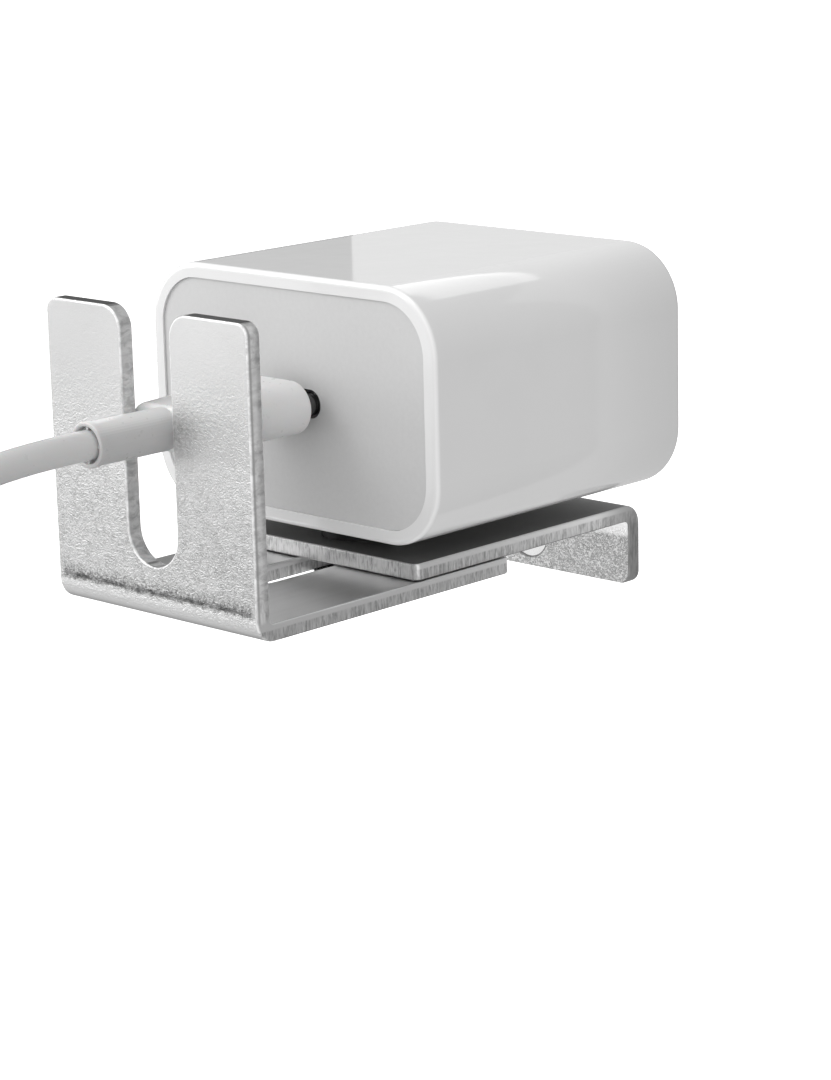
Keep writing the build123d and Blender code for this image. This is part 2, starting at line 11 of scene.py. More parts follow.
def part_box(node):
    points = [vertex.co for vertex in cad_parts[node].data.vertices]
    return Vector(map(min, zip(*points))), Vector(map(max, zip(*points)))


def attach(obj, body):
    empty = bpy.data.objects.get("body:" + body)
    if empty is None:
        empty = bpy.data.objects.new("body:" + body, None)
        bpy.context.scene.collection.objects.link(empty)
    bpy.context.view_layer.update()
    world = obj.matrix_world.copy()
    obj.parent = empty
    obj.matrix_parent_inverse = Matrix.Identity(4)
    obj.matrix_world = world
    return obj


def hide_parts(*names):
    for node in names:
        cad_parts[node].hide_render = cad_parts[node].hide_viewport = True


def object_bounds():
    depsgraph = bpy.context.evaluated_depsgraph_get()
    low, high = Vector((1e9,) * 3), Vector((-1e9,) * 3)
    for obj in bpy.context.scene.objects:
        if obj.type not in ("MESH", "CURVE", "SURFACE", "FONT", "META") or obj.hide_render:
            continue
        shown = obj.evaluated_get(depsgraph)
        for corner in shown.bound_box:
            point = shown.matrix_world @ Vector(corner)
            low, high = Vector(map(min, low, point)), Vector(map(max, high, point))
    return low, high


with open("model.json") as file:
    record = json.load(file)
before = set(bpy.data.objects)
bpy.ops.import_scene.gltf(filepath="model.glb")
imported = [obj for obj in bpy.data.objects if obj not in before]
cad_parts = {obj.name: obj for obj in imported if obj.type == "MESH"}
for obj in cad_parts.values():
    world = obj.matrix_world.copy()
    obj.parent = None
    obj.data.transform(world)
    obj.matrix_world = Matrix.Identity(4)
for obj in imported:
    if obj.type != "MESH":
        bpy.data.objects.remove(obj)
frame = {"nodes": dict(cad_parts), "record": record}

CAD_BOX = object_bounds()
MM = 0.001
SHEET = 1.9
WALL_BODY = "wall_fixed"
CABLE_BODY = "cable"


def node(name):
    """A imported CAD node's object."""
    return frame["nodes"][name]


def in_scene(thing):
    """Puts an object into the scene."""
    bpy.context.scene.collection.objects.link(thing)
    return thing


# ---- Camera --------------------------------------------------------------------------------

CAMERA_PLACE = Vector((239.5, -272.3, 64.4)) * MM
CAMERA_YAW = math.radians(43.68)
CAMERA_PITCH = math.radians(13.56)
CAMERA_ROLL = math.radians(-1.4)
CAMERA_LENS = 103.64
SENSOR = 36.0
NEAREST_SEEN = 0.01


def add_camera():
    """The camera, aimed by its turn about the upright, its tilt down and its roll."""
    data = bpy.data.cameras.new("camera")
    data.lens = CAMERA_LENS
    data.sensor_fit = "VERTICAL"
    data.sensor_height = SENSOR
    data.clip_start = NEAREST_SEEN
    camera = bpy.data.objects.new("camera", data)
    turn = Matrix.Rotation(CAMERA_YAW, 4, "Z")
    tilt = Matrix.Rotation(math.pi / 2 - CAMERA_PITCH, 4, "X")
    roll = Matrix.Rotation(CAMERA_ROLL, 4, "Z")
    camera.matrix_world = Matrix.Translation(CAMERA_PLACE) @ turn @ tilt @ roll
    bpy.context.scene.camera = in_scene(camera)


add_camera()

# ---- Cord ----------------------------------------------------------------------------------

CORD_DIAMETER = 3.2 * MM
COIL_MIDDLE_RADIUS = 17.5 * MM
TURN_POINTS = 16
# The route from the strain relief to the coil, and the drops from the coil to the far plug
LEAD = [
    (0, -69.1, 0),
    (0, -78.0, 0),
    (0, -87.0, -1.2),
    (0, -98.0, -9.0),
    (0, -103.5, -24.0),
    (0, -104.5, -40.0),
]
TAIL_DROPS = [(0, 0, 0), (0.3, 0.3, -12.0), (0.3, 0.3, -24.0)]
# The part of each turn in which the cord shifts to its next place
SHIFT_START = 0.4
SHIFT_LENGTH = 0.2
CORD_DIVISIONS = 6
CORD_ROUNDNESS = 8
# Where the turns lie in the bundle, in diameters outwards and sideways from its middle
TURN_PLACES = [(1, -1), (1, 0), (0, 0), (0, -1), (-1, -1), (-1, 0), (-1, 1), (0, 1), (1, 1)]


def turn_place(turns):
    """How far out and sideways the cord lies after this many turns: it shifts by the tie."""
    number = int(turns)
    share = (turns - number - SHIFT_START) / SHIFT_LENGTH
    share = min(max(share, 0.0), 1.0)
    share = share * share * (3 - 2 * share)
    here = TURN_PLACES[number]
    after = TURN_PLACES[min(number + 1, len(TURN_PLACES) - 1)]
    return [a + (b - a) * share for a, b in zip(here, after)]


def cord_route():
    """Control points for the whole cord, in metres."""
    lead = [Vector(p) * MM for p in LEAD]
    start = lead[-1]
    outer = COIL_MIDDLE_RADIUS + CORD_DIAMETER
    centre = start + Vector((CORD_DIAMETER, -outer, 0))
    # A quadratic spline cuts inside its points by this share of the radius
    swell = 8 / (6 + 2 * math.cos(2 * math.pi / TURN_POINTS))
    turns = len(TURN_PLACES) - 1
    coil = []
    for step in range(1, turns * TURN_POINTS):
        out, side = turn_place(step / TURN_POINTS)
        radius = (COIL_MIDDLE_RADIUS + out * CORD_DIAMETER) * swell
        angle = 2 * math.pi * step / TURN_POINTS
        place = Vector((side * CORD_DIAMETER, radius * math.cos(angle), -radius * math.sin(angle)))
        coil.append(centre + place)
    tail_start = start + Vector((2 * CORD_DIAMETER, 0, 0))
    tail = [tail_start + Vector(drop) * MM for drop in TAIL_DROPS]
    return lead + coil + tail


def spline_curve(name, points, radius):
    """A round tube along one smooth spline through the space of its control points.

    The radius is the points' own, because a curve's box is its points' radius larger each way."""
    data = bpy.data.curves.new(name, "CURVE")
    data.dimensions = "3D"
    data.bevel_depth = 1.0
    data.bevel_resolution = CORD_ROUNDNESS
    data.resolution_u = CORD_DIVISIONS
    data.use_fill_caps = True
    spline = data.splines.new("NURBS")
    spline.points.add(len(points) - 1)
    for point, place in zip(spline.points, points):
        point.co = (*place, 1.0)
        point.radius = radius
    spline.order_u = 3
    spline.use_endpoint_u = True
    return in_scene(bpy.data.objects.new(name, data))


# ---- Detail pieces -------------------------------------------------------------------------

SCREW_DOME = 0.45 * MM
SCREW_HOLE_RADIUS = 1.9 * MM
SCREW_NECK_RADIUS = 1.5 * MM
SCREW_THREAD_RADIUS = 1.75 * MM
THREAD_START = 0.5 * MM
THREAD_PITCH = 0.79 * MM
THREAD_DEPTH = 0.34 * MM
THREAD_SLOPE = 2.2
THREAD_STEPS = 8
SCREW_EDGE = 0.1 * MM
SCREW_TIP = 0.5 * MM
SCREW_SLOT = 0.8 * MM
SCREW_SLOT_DEPTH = 0.45 * MM
SEGMENTS = 48
SHARP_ANGLE = math.radians(35)

STRAP_THICKNESS = 0.8 * MM
STRAP_INNER_GAP = 0.02 * MM
STRAP_EDGE = 0.24 * MM
STRAP_SQUARENESS = 6
STRAP_TURNS = 1.3
STRAP_STATIONS = 150
# The lapped end climbs over the first turn, and its last bit stands off a little
LAP_START = 0.9
LAP_CLIMB = 0.15
LAP_GAP = 0.04 * MM
LIFTED_TURN = 0.06
LIFT_PER_TURN = 12 * MM
NARROWEST_END = 0.02

CONTACTS = 12
CONTACT_PITCH = 0.5 * MM
CONTACT_WIDTH = 0.26 * MM
CONTACT_THICKNESS = 0.12 * MM
CONTACT_LENGTH = 4.6 * MM
CONTACT_START = 0.5 * MM
CONTACT_BULGE = 0.14 * MM
CONTACT_STEPS = 8
PLUG_SLOT_HEIGHT = 0.9 * MM


def add_piece(name, mesh, body, replaced=()):
    """Puts a mesh piece on a body, in place of the CAD nodes that it replaces."""
    piece = in_scene(bpy.data.objects.new(name, mesh))
    for face in mesh.polygons:
        face.use_smooth = True
    mesh.set_sharp_from_angle(angle=SHARP_ANGLE)
    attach(piece, body)
    if replaced:
        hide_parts(*replaced)
    return piece


def skin(bm, rings):
    """Faces between rings of points, with a face over each end."""
    made = [[bm.verts.new(point) for point in ring] for ring in rings]
    for first, second in zip(made, made[1:]):
        for here in range(len(first)):
            bm.faces.new((first[here], first[here - 1], second[here - 1], second[here]))
    bm.faces.new(made[0])
    bm.faces.new(reversed(made[-1]))


def to_mesh(name, bm):
    """A mesh from what was built, with its faces turned outwards."""
    bmesh.ops.recalc_face_normals(bm, faces=bm.faces)
    mesh = bpy.data.meshes.new(name)
    bm.to_mesh(mesh)
    bm.free()
    return mesh


def box_mesh(name, low, high):
    """A box between two corners."""
    bm = bmesh.new()
    bmesh.ops.create_cube(bm, size=1)
    size = Vector(high) - Vector(low)
    middle = (Vector(high) + Vector(low)) / 2
    for vert in bm.verts:
        vert.co = Vector(a * b for a, b in zip(vert.co, size)) + middle
    return to_mesh(name, bm)


def cut_away(mesh, tool_mesh):
    """The mesh less the tool's volume."""
    body = in_scene(bpy.data.objects.new("cut_body", mesh))
    tool = in_scene(bpy.data.objects.new("cut_tool", tool_mesh))
    modifier = body.modifiers.new("cut", "BOOLEAN")
    modifier.operation = "DIFFERENCE"
    modifier.solver = "EXACT"
    modifier.object = tool
    bpy.context.view_layer.update()
    evaluated = body.evaluated_get(bpy.context.evaluated_depsgraph_get())
    result = bpy.data.meshes.new_from_object(evaluated)
    result.name = mesh.name
    bpy.data.objects.remove(body)
    bpy.data.objects.remove(tool)
    return result


def screw_radius(along, angle, tip):
    """The threaded shank's radius at a place along it and round it."""
    phase = (along / THREAD_PITCH - angle / (2 * math.pi)) % 1
    groove = THREAD_DEPTH * min(1.0, THREAD_SLOPE * abs(phase - 0.5))
    run_out = min(1.0, (along - THREAD_START) / THREAD_PITCH)
    chamfer = max(0.0, along - (tip - SCREW_TIP))
    return min(SCREW_THREAD_RADIUS - groove * run_out, SCREW_THREAD_RADIUS - chamfer)


def make_wall_screw():
    """The oval-head wall screw, with its thread and its driving slot."""
    low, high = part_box("wall_screw")
    across, height = (low[0] + high[0]) / 2, (low[2] + high[2]) / 2
    head_radius = (high[0] - low[0]) / 2
    front, tip = low[1], high[1]
    angles = [2 * math.pi * step / SEGMENTS for step in range(SEGMENTS)]

    def ring(along, radii):
        return [(across + radius * math.cos(angle), along, height + radius * math.sin(angle))
                for angle, radius in zip(angles, radii)]

    def round_ring(along, radius):
        return ring(along, [radius] * SEGMENTS)

    dome = [round_ring(front - SCREW_DOME * (1 - share * share), head_radius * share)
            for share in (0.04, 0.2, 0.4, 0.6, 0.8, 0.93, 1.0)]
    depth = head_radius - SCREW_HOLE_RADIUS
    rings = dome + [
        round_ring(front + SCREW_EDGE, head_radius),
        round_ring(front + depth, SCREW_HOLE_RADIUS),
        round_ring(front + depth + SCREW_EDGE, SCREW_NECK_RADIUS),
        round_ring(THREAD_START, SCREW_NECK_RADIUS),
    ]
    steps = int((tip - THREAD_START) / (THREAD_PITCH / THREAD_STEPS))
    for step in range(1, steps + 1):
        along = THREAD_START + (tip - THREAD_START) * step / steps
        rings.append(ring(along, [screw_radius(along, angle, tip) for angle in angles]))
    bm = bmesh.new()
    skin(bm, rings)
    half = SCREW_SLOT / 2
    slot = box_mesh("slot", (across - 2 * head_radius, front - 2 * SCREW_DOME, height - half),
                    (across + 2 * head_radius, front + SCREW_SLOT_DEPTH, height + half))
    mesh = cut_away(to_mesh("wall_screw_threaded", bm), slot)
    return add_piece("wall_screw_threaded", mesh, WALL_BODY, ["wall_screw"])


def make_strap():
    """The hook-and-loop strap: once round the bundle and a lapped end."""
    low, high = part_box("coil_tie")
    middle = Vector((a + b for a, b in zip(low, high))) / 2
    inner = (high[0] - low[0]) / 2 - STRAP_THICKNESS - STRAP_INNER_GAP
    width = high[2] - low[2]
    edge = STRAP_EDGE

    def place(turn, out):
        angle = 2 * math.pi * turn
        lap = min(max((turn - LAP_START) / LAP_CLIMB, 0.0), 1.0)
        lift = max(0.0, turn - (STRAP_TURNS - LIFTED_TURN)) * LIFT_PER_TURN
        reach = inner + out + lap * (STRAP_THICKNESS + LAP_GAP) + lift
        c, s = math.cos(angle), math.sin(angle)
        round_off = (abs(c) ** STRAP_SQUARENESS + abs(s) ** STRAP_SQUARENESS) ** (1 / STRAP_SQUARENESS)
        return middle + Vector((c, s, 0)) * (reach / round_off)

    rings = []
    for step in range(STRAP_STATIONS + 1):
        turn = STRAP_TURNS * step / STRAP_STATIONS
        # The lapped end is cut round
        left = (STRAP_TURNS - turn) * 2 * math.pi * inner
        taper = min(1.0, left / (width / 2))
        half = width / 2 * math.sqrt(max(NARROWEST_END, 1 - (1 - taper) ** 2))
        section = [(edge, -half), (0, -half + edge), (0, half - edge), (edge, half),
                   (STRAP_THICKNESS - edge, half), (STRAP_THICKNESS, half - edge),
                   (STRAP_THICKNESS, -half + edge), (STRAP_THICKNESS - edge, -half)]
        rings.append([place(turn, out) + Vector((0, 0, along)) for out, along in section])
    bm = bmesh.new()
    skin(bm, rings)
    mesh = to_mesh("hook_and_loop_strap", bm)
    return add_piece("hook_and_loop_strap", mesh, CABLE_BODY, ["coil_tie"])


def make_contacts():
    """The spring contacts in the free plug's slot, twelve on each side."""
    low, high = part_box("far_plug_liner")
    across, middle = (low[0] + high[0]) / 2, (low[1] + high[1]) / 2
    bm = bmesh.new()
    for side in (-1, 1):
        for number in range(CONTACTS):
            x = across + (number - (CONTACTS - 1) / 2) * CONTACT_PITCH
            rings = []
            for step in range(CONTACT_STEPS + 1):
                share = step / CONTACT_STEPS
                bulge = CONTACT_BULGE * math.sin(math.pi * share) ** 2
                outer = middle + side * PLUG_SLOT_HEIGHT / 2
                inner = outer - side * (CONTACT_THICKNESS + bulge)
                z = low[2] + CONTACT_START + CONTACT_LENGTH * share
                left, right = x - CONTACT_WIDTH / 2, x + CONTACT_WIDTH / 2
                rings.append([(left, outer, z), (right, outer, z), (right, inner, z), (left, inner, z)])
            skin(bm, rings)
    return add_piece("far_plug_contacts", to_mesh("far_plug_contacts", bm), CABLE_BODY)


wall_screw = make_wall_screw()
strap = make_strap()
contacts = make_contacts()

# ---- Cord and what is on it ----------------------------------------------------------------

cord = spline_curve("cord", cord_route(), CORD_DIAMETER / 2)
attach(cord, CABLE_BODY)
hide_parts("cord_lead", "cord_coil", "cord_tail")

# ---- Materials -----------------------------------------------------------------------------

# Shades are linear greys from 0 to 1. A grain or a reach is a length on the object. A pair of limits
# is where a mask starts and where it is full.


class Look:
    """A principled material built from nodes. Lengths are in metres of the object's own space."""

    def __init__(self, name, metallic=0.0, roughness=0.5, **sockets):
        self.material = bpy.data.materials.new(name)
        self.material.use_nodes = True
        self.tree = self.material.node_tree
        self.shader = self.tree.nodes["Principled BSDF"]
        self.shader.inputs["Metallic"].default_value = metallic
        self.shader.inputs["Roughness"].default_value = roughness
        for socket, value in sockets.items():
            self.shader.inputs[socket.replace("_", " ")].default_value = value
        self.place = self.node("ShaderNodeTexCoord").outputs["Object"]
        axes = self.node("ShaderNodeSeparateXYZ", Vector=self.place)
        self.x, self.y, self.z = axes.outputs
        true_normal = self.node("ShaderNodeNewGeometry").outputs["True Normal"]
        axes = self.node("ShaderNodeSeparateXYZ", Vector=true_normal)
        self.facing_x, self.facing_y, self.facing_z = axes.outputs

    def node(self, kind, settings=None, **inputs):
        """Adds a node; inputs are values or other nodes' outputs."""
        made = self.tree.nodes.new(kind)
        for key, value in (settings or {}).items():
            setattr(made, key, value)
        for key, value in inputs.items():
            self.feed(made.inputs[key.replace("_", " ")], value)
        return made

    def feed(self, socket, value):
        if isinstance(value, bpy.types.NodeSocket):
            self.tree.links.new(value, socket)
        elif value is not None:
            socket.default_value = value

    def math(self, operation, first, second=None):
        made = self.node("ShaderNodeMath", {"operation": operation})
        for socket, value in zip(made.inputs, (first, second)):
            self.feed(socket, value)
        return made.outputs[0]

    def times(self, first, second):
        return self.math("MULTIPLY", first, second)

    def plus(self, first, second):
        return self.math("ADD", first, second)

    def either(self, first, second):
        return self.math("MAXIMUM", first, second)

    def size(self, value):
        return self.math("ABSOLUTE", value)

    def rise(self, value, low, high, start=0.0, end=1.0):
        """start below low, end above high, smooth between them."""
        made = self.node("ShaderNodeMapRange", {"interpolation_type": "SMOOTHSTEP"}, Value=value)
        for key, number in (("From Min", low), ("From Max", high), ("To Min", start), ("To Max", end)):
            made.inputs[key].default_value = number
        return made.outputs["Result"]

    def fall(self, value, low, high):
        return self.rise(value, low, high, 1.0, 0.0)

    def band(self, value, middle, solid, reach):
        """1 within the solid distance of the middle, 0 beyond the reach."""
        return self.fall(self.size(self.plus(value, -middle)), solid, reach)

    def facing_out(self, low, high):
        """Where a face looks out into the room."""
        return self.rise(self.times(self.facing_y, -1.0), low, high)

    def distance(self, x, z, squash=1.0):
        """How far away a line through x and z is that runs straight out into the room."""
        up = self.times(self.plus(self.z, -z), squash)
        away = self.node("ShaderNodeCombineXYZ", X=self.plus(self.x, -x), Y=up)
        length = self.node("ShaderNodeVectorMath", {"operation": "LENGTH"}, Vector=away.outputs[0])
        return length.outputs["Value"]

    def noise(self, grain, detail=2.0, stretch=(1, 1, 1), distortion=0.0, roughness=0.5):
        """Noise with features about a grain's length across, longer along a stretched axis."""
        scaled = self.node("ShaderNodeMapping", Vector=self.place)
        scaled.inputs["Scale"].default_value = [1 / (grain * s) for s in stretch]
        made = self.node("ShaderNodeTexNoise", Vector=scaled.outputs[0])
        made.inputs["Scale"].default_value = 1.0
        made.inputs["Detail"].default_value = detail
        made.inputs["Roughness"].default_value = roughness
        made.inputs["Distortion"].default_value = distortion
        return made.outputs["Fac"]

    def cell_edges(self, grain, stretch):
        """How far the edges of a cell pattern are."""
        scaled = self.node("ShaderNodeMapping", Vector=self.place)
        scaled.inputs["Scale"].default_value = [1 / (grain * s) for s in stretch]
        made = self.node("ShaderNodeTexVoronoi", {"feature": "DISTANCE_TO_EDGE"}, Vector=scaled.outputs[0])
        made.inputs["Scale"].default_value = 1.0
        return made.outputs["Distance"]

    def blend(self, share, first, second):
        """Mixes two colours or shades of grey."""
        made = self.node("ShaderNodeMix", {"data_type": "RGBA"})
        self.feed(made.inputs["Factor"], share)
        for socket, value in ((made.inputs[6], first), (made.inputs[7], second)):
            if isinstance(value, (int, float)):
                value = (value, value, value, 1)
            elif isinstance(value, tuple):
                value = (*value, 1)
            self.feed(socket, value)
        return made.outputs[2]

    def mix(self, share, first, second):
        """Mixes two numbers."""
        made = self.node("ShaderNodeMix", {"data_type": "FLOAT"})
        for index, value in ((0, share), (2, first), (3, second)):
            self.feed(made.inputs[index], value)
        return made.outputs[0]

    def finish(self, color, roughness=None, height=None, depth=0.0001):
        """Joins the results to the shader; depth is the bump's height in metres."""
        self.feed(self.shader.inputs["Base Color"], color)
        self.feed(self.shader.inputs["Roughness"], roughness)
        if height is not None:
            bump = self.node("ShaderNodeBump", Height=height)
            bump.inputs["Strength"].default_value = 1.0
            bump.inputs["Distance"].default_value = depth
            self.feed(self.shader.inputs["Normal"], bump.outputs[0])
        return self.material


def white_gloss():
    """The moulded housing: clean gloss with a faint unevenness, and painted shade on its front and on its
    sides towards the wall.
    """
    look = Look("white_gloss", Coat_Weight=0.15, Coat_Roughness=0.06, IOR=1.5)
    cloud = look.noise(9 * MM, 3)
    color = look.blend(cloud, 0.85, 0.89)
    # Painted shade on the faces that look out into the room
    color = look.blend(look.facing_out(0.7, 0.95), color, 0.77)
    # Painted shade: the sides darken towards the wall, where the wall's shadow falls
    wall_painted_shade = look.times(look.rise(look.y, -20 * MM, 2 * MM), look.size(look.facing_x))
    color = look.blend(wall_painted_shade, color, 0.74)
    rough = look.mix(look.noise(3 * MM, 4), 0.07, 0.12)
    return look.finish(color, rough, look.noise(6 * MM, 2), 0.03 * MM)


def grey_matte():
    """The face plate: the housing's white plastic with a satin finish, painted grey as shade, and a
    spark-eroded grain.
    """
    look = Look("grey_matte")
    # Painted shade: the grey stands for the shade on the plate's white plastic
    color = look.blend(look.noise(0.5 * MM, 4), 0.555, 0.605)
    rough = look.mix(look.noise(1 * MM, 3), 0.42, 0.56)
    return look.finish(color, rough, look.noise(0.12 * MM, 3), 0.006 * MM)


def soft_white(name, low, high, top_painted_highlight=None):
    """Soft plastic of the cord and its plugs; the last shade, if given, is a painted highlight: the
    lighter shade of what faces up.
    """
    look = Look(name, Subsurface_Weight=0.08, Subsurface_Scale=0.001)
    color = look.blend(look.noise(4 * MM, 3), low, high)
    if top_painted_highlight:
        # Painted highlight on what faces up
        color = look.blend(look.rise(look.facing_z, 0.35, 0.95), color, top_painted_highlight)
    rough = look.mix(look.noise(0.8 * MM, 4), 0.24, 0.34)
    return look.finish(color, rough, look.noise(0.15 * MM, 3), 0.006 * MM)


# Heights and ends of the bracket's sheets, in mm
FORK_TOP = 12.85
FORK_PLATE_TOP = -18.6
FORK_PLATE_END = -22.65
FORK_HALF_WIDTH = 15.0
FORK_BEND_END = -58.5
CREASE_HEIGHT = -16.5
CREASE_BELOW = (-17.2, -16.7)
CREASE_ABOVE = (-16.4, -14.7)
CREASE_HALF_WIDTH = (14.5, 14.9)
BEND_SMOOTH = (-17.4, -16.9)
SHELF_TOP = -16.6
SHELF_FRONT = -37.65
SHELF_BEND_START = -5.0
FLANGE_LOWEST = -26.05
FLANGE_EDGE = (-19.6, -17.8)
# The place on the fork where the sleeve's shadow is painted, and how far it reaches, in mm
SHADOW_X = 4.6
SHADOW_Z = 0.5
SHADOW_REACH = 5.5
SHADOW_SQUASH = 1.2


def in_mm(limits):
    """Two limits given in mm, as metres."""
    return [limit * MM for limit in limits]


def sheet_steel(name, ends):
    """Plated sheet steel, with masks for its cut edges and its upright and level faces.

    ends name the edges that face along the sheet: an axis, a sign and a limit in mm."""
    look = Look(name, metallic=1.0)
    cut = look.rise(look.size(look.facing_x), 0.1, 0.3)
    for axis, sign, limit in ends:
        beyond = look.times(getattr(look, axis), sign)
        cut = look.either(cut, look.rise(beyond, (limit - 0.05) * MM, limit * MM))
    upright = look.rise(look.size(look.facing_y), 0.75, 0.95)
    level_up = look.rise(look.facing_z, 0.75, 0.95)
    return look, cut, upright, level_up


def grooves(look, grain, width):
    """Short winding grooves: 1 in a groove, 0 between them."""
    field = look.noise(grain, 2, (1.15, 1, 0.9), 1.0, 0.5)
    line = look.band(field, 0.5, 0.0, width)
    broken = look.rise(look.noise(grain * 1.4, 1), 0.38, 0.58)
    return look.times(line, broken)


def hammered(look, grain):
    """Small irregular dents, as a height."""
    coarse = look.noise(grain, 3, (1.2, 1, 0.85), 1.4, 0.55)
    fine = look.noise(grain * 0.45, 2, (1.2, 1, 0.9), 0.8)
    return look.plus(coarse, look.times(fine, 0.35))


def cut_marks(look):
    """Streaks left by the shears, across the thickness of the sheet."""
    level = look.noise(0.4 * MM, 3, (0.6, 0.6, 3.2), 0.3, 0.6)
    standing = look.noise(0.6 * MM, 3, (1, 2.2, 1.2), 0.5, 0.6)
    streaks = look.mix(look.fall(look.z, SHELF_TOP * MM, (SHELF_TOP + 1) * MM), standing, level)
    # The streaks come in patches, with smoother metal between
    patches = look.rise(look.noise(2.2 * MM, 3), 0.36, 0.6)
    return look.mix(look.mix(patches, 0.35, 1.0), 0.58, streaks)


def streaked(look, streaks, low, high, spread=(0.3, 0.7)):
    """A shade that follows the streaks."""
    return look.blend(look.rise(streaks, *spread), low, high)


def sheared_edge(look, streaks, top, low, high, bend):
    """The edge of a level sheet: streaked low down, clean near the top, dark at the bottom.

    bend is a mask of where the sheet isn't level any more."""
    shade = streaked(look, streaks, low, high)
    shade = look.blend(look.rise(look.z, (top - 0.75) * MM, (top - 0.5) * MM), shade, high)
    dark_line = look.fall(look.z, (top - SHEET + 0.05) * MM, (top - SHEET + 0.2) * MM)
    return look.blend(look.times(dark_line, look.math("SUBTRACT", 1.0, bend)), shade, 0.12)


def sleeve_shadow_on_fork(look):
    """Painted shadow of the plug's sleeve on the fork beside its slot."""
    patch = look.fall(look.distance(SHADOW_X * MM, SHADOW_Z * MM, SHADOW_SQUASH), 0.0, SHADOW_REACH * MM)
    patch = look.times(patch, look.facing_out(0.5, 0.9))
    specks = look.rise(look.noise(0.4 * MM, 3), 0.4, 0.6)
    return look.times(patch, look.mix(specks, 0.45, 1.0))


def crease(look, height):
    """The dark, rough line just above the fork's bend."""
    line = look.times(look.rise(height, *in_mm(CREASE_BELOW)), look.fall(height, *in_mm(CREASE_ABOVE)))
    line = look.times(line, look.fall(look.size(look.x), *in_mm(CREASE_HALF_WIDTH)))
    line = look.times(line, look.facing_out(0.5, 0.9))
    speckle = look.rise(look.noise(0.3 * MM, 3, (1, 1, 1), 0.6), 0.4, 0.6)
    core = look.band(height, CREASE_HEIGHT * MM, 0.05 * MM, 0.5 * MM)
    core = look.times(core, look.mix(look.rise(look.noise(1.2 * MM, 2), 0.35, 0.65), 0.6, 0.95))
    return look.times(line, look.either(look.times(speckle, 0.7), core))


def fork_face(look, groove, height):
    """The shade of the fork's front and back, with painted light: lighter to the right, painted shade in
    the grooves, the sleeve's painted shadow and a lighter bend.
    """
    cloud = look.noise(5 * MM, 3)
    # Painted light: lighter to the right, to even out the light from the left
    right_painted_lighter = look.rise(look.x, -12 * MM, 10 * MM)
    face = look.blend(right_painted_lighter, look.blend(cloud, 0.55, 0.585), look.blend(cloud, 0.62, 0.66))
    face = look.blend(look.fall(look.z, -13 * MM, -2 * MM), face, 0.56)
    # Painted shade in the grooves, deeper low down
    groove_painted_shade = look.mix(look.fall(look.z, -12 * MM, 0.0), 0.2, 0.55)
    face = look.blend(look.times(groove, groove_painted_shade), face, 0.25)
    # Painted shadow of the sleeve beside the slot
    face = look.blend(look.times(sleeve_shadow_on_fork(look), 0.8), face, 0.34)
    face = look.blend(crease(look, height), face, 0.05)
    # The bend itself is smooth, and painted lighter as a highlight
    return look.blend(look.fall(height, *in_mm(BEND_SMOOTH)), face, 0.7)


def fork_steel():
    """The front bracket."""
    ends = [("z", 1, FORK_TOP), ("y", 1, FORK_PLATE_END)]
    look, cut, upright, level_up = sheet_steel("fork_steel", ends)
    low = look.fall(look.z, -8 * MM, 9 * MM)
    groove = look.times(grooves(look, 0.46 * MM, 0.09), look.mix(low, 0.1, 1.0))
    dents = hammered(look, 0.5 * MM)
    streaks = cut_marks(look)
    ragged = look.times(look.noise(0.5 * MM, 4, (1.6, 1, 1), 0.0, 0.7), 1.6 * MM)
    face = fork_face(look, groove, look.plus(look.z, ragged))
    level = look.blend(look.noise(1.5 * MM, 3, (1, 12, 1)), 0.62, 0.76)
    color = look.blend(level_up, face, level)
    # The outer edge is dull and bright on its front half, behind a dark burr
    across = look.plus(look.y, -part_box("front_bracket")[0][1])
    outer = look.rise(look.size(look.x), (FORK_HALF_WIDTH - 0.4) * MM, FORK_HALF_WIDTH * MM)
    burr = look.times(outer, look.band(across, 0.35 * MM, 0.05 * MM, 0.25 * MM))
    standing_edge = streaked(look, streaks, 0.58, 0.95)
    standing_edge = look.blend(look.times(burr, 0.7), standing_edge, 0.4)
    front_bend = look.fall(look.y, FORK_BEND_END * MM, (FORK_BEND_END + 0.5) * MM)
    level_edge = sheared_edge(look, streaks, FORK_PLATE_TOP, 0.46, 0.92, front_bend)
    standing = look.rise(look.z, FORK_PLATE_TOP * MM, (FORK_PLATE_TOP + 0.6) * MM)
    edge = look.blend(standing, level_edge, standing_edge)
    edge = look.blend(look.rise(look.facing_z, 0.9, 0.99), edge, 0.16)
    color = look.blend(cut, color, edge)
    dull = look.times(look.times(outer, standing), look.times(cut, look.fall(across, 0.8 * MM, 1.6 * MM)))
    look.feed(look.shader.inputs["Metallic"], look.mix(dull, 1.0, 0.4))
    rough = look.mix(upright, 0.38, 0.46)
    rough = look.mix(level_up, rough, 0.3)
    rough = look.mix(cut, rough, 0.5)
    relief = look.plus(look.times(dents, look.mix(low, 0.14, 1.45)), look.times(groove, -0.15))
    relief = look.mix(cut, look.times(relief, upright), look.times(streaks, 0.4))
    return look.finish(color, rough, relief, 0.1 * MM)


def shelf_edge(look, streaks):
    """The shade of the rear bracket's cut edges, which darken round the bend to the flange."""
    bend = look.rise(look.y, SHELF_BEND_START * MM, (SHELF_BEND_START + 1) * MM)
    edge = sheared_edge(look, streaks, SHELF_TOP, 0.46, 0.95, bend)
    front_edge = streaked(look, streaks, 0.27, 0.5, (0.36, 0.6))
    edge = look.blend(look.facing_out(0.5, 0.8), edge, front_edge)
    round_bend = look.rise(look.y, -9 * MM, -1 * MM)
    edge = look.blend(look.times(round_bend, 0.7), edge, 0.24)
    flange = look.fall(look.z, *in_mm(FLANGE_EDGE))
    return look.blend(flange, edge, streaked(look, streaks, 0.2, 0.34))


